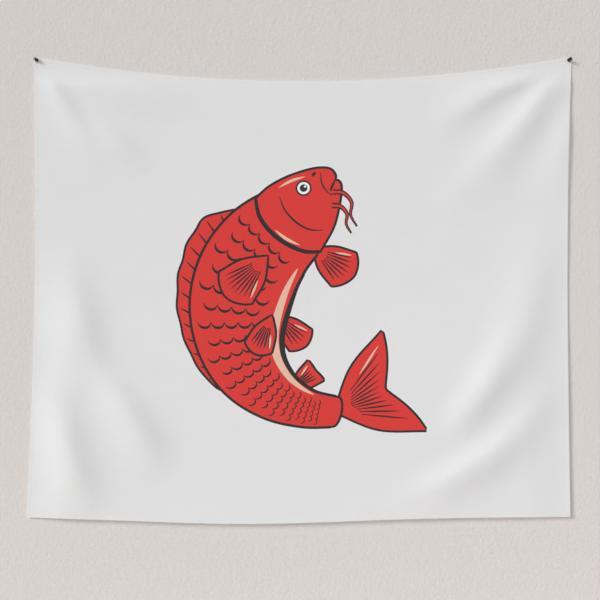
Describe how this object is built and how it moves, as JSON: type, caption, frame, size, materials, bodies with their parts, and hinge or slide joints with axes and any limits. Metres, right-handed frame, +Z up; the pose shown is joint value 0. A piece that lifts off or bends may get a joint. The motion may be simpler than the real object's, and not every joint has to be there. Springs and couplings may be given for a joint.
{
  "type": "wall tapestry",
  "caption": "Hemmed rectangular cloth wall hanging, pinned at its top corners by tilted push pins, with a sagging top edge and soft folds.",
  "frame": {"origin": "on the wall, midway between the two points where the pins go in", "axes": "+X right along the wall as seen from the room, +Z up the wall, +Y into the wall"},
  "size_m": [1.531, 0.0373, 1.311],
  "materials": {
    "cloth": "matt brushed plain weave",
    "hem": "matt, turned twice",
    "thread": "spun polyester thread",
    "pin_plastic": "glossy moulded",
    "pin_steel": "bright drawn wire"
  },
  "bodies": {
    "pinned_corners": {"cloth_corner_left": "cloth", "cloth_corner_right": "cloth", "hem_corner_left": "hem", "hem_corner_right": "hem", "seam_corner_left": "thread", "seam_corner_right": "thread"},
    "upper_cloth": {"cloth_upper": "cloth", "hem_top": "hem", "hem_left_upper": "hem", "hem_right_upper": "hem", "seam_top": "thread", "seam_left_upper": "thread", "seam_right_upper": "thread"},
    "lower_cloth": {"cloth_lower": "cloth", "hem_left_lower": "hem", "hem_right_lower": "hem", "hem_bottom": "hem", "seam_left_lower": "thread", "seam_right_lower": "thread", "seam_bottom": "thread"},
    "left_pin": {"pin_head_left": "pin_plastic", "pin_needle_left": "pin_steel"},
    "right_pin": {"pin_head_right": "pin_plastic", "pin_needle_right": "pin_steel"}
  },
  "joints": [
    {"name": "cloth_swing", "type": "hinge", "parent": "pinned_corners", "child": "upper_cloth", "pos_m": [0, -0.004, -0.02], "axis": [-1, 0, 0], "range_deg": [0, 90]},
    {"name": "lower_fold", "type": "hinge", "parent": "upper_cloth", "child": "lower_cloth", "pos_m": [0, -0.01, -0.52], "axis": [-1, 0, 0], "range_deg": [0, 150]},
    {"name": "left_pin_pull", "type": "slide", "parent": "pinned_corners", "child": "left_pin", "axis": [-0.2649, -0.9272, 0.2649], "range_m": [0, 0.03]},
    {"name": "right_pin_pull", "type": "slide", "parent": "pinned_corners", "child": "right_pin", "axis": [0.2649, -0.9272, 0.2649], "range_m": [0, 0.03]}
  ]
}
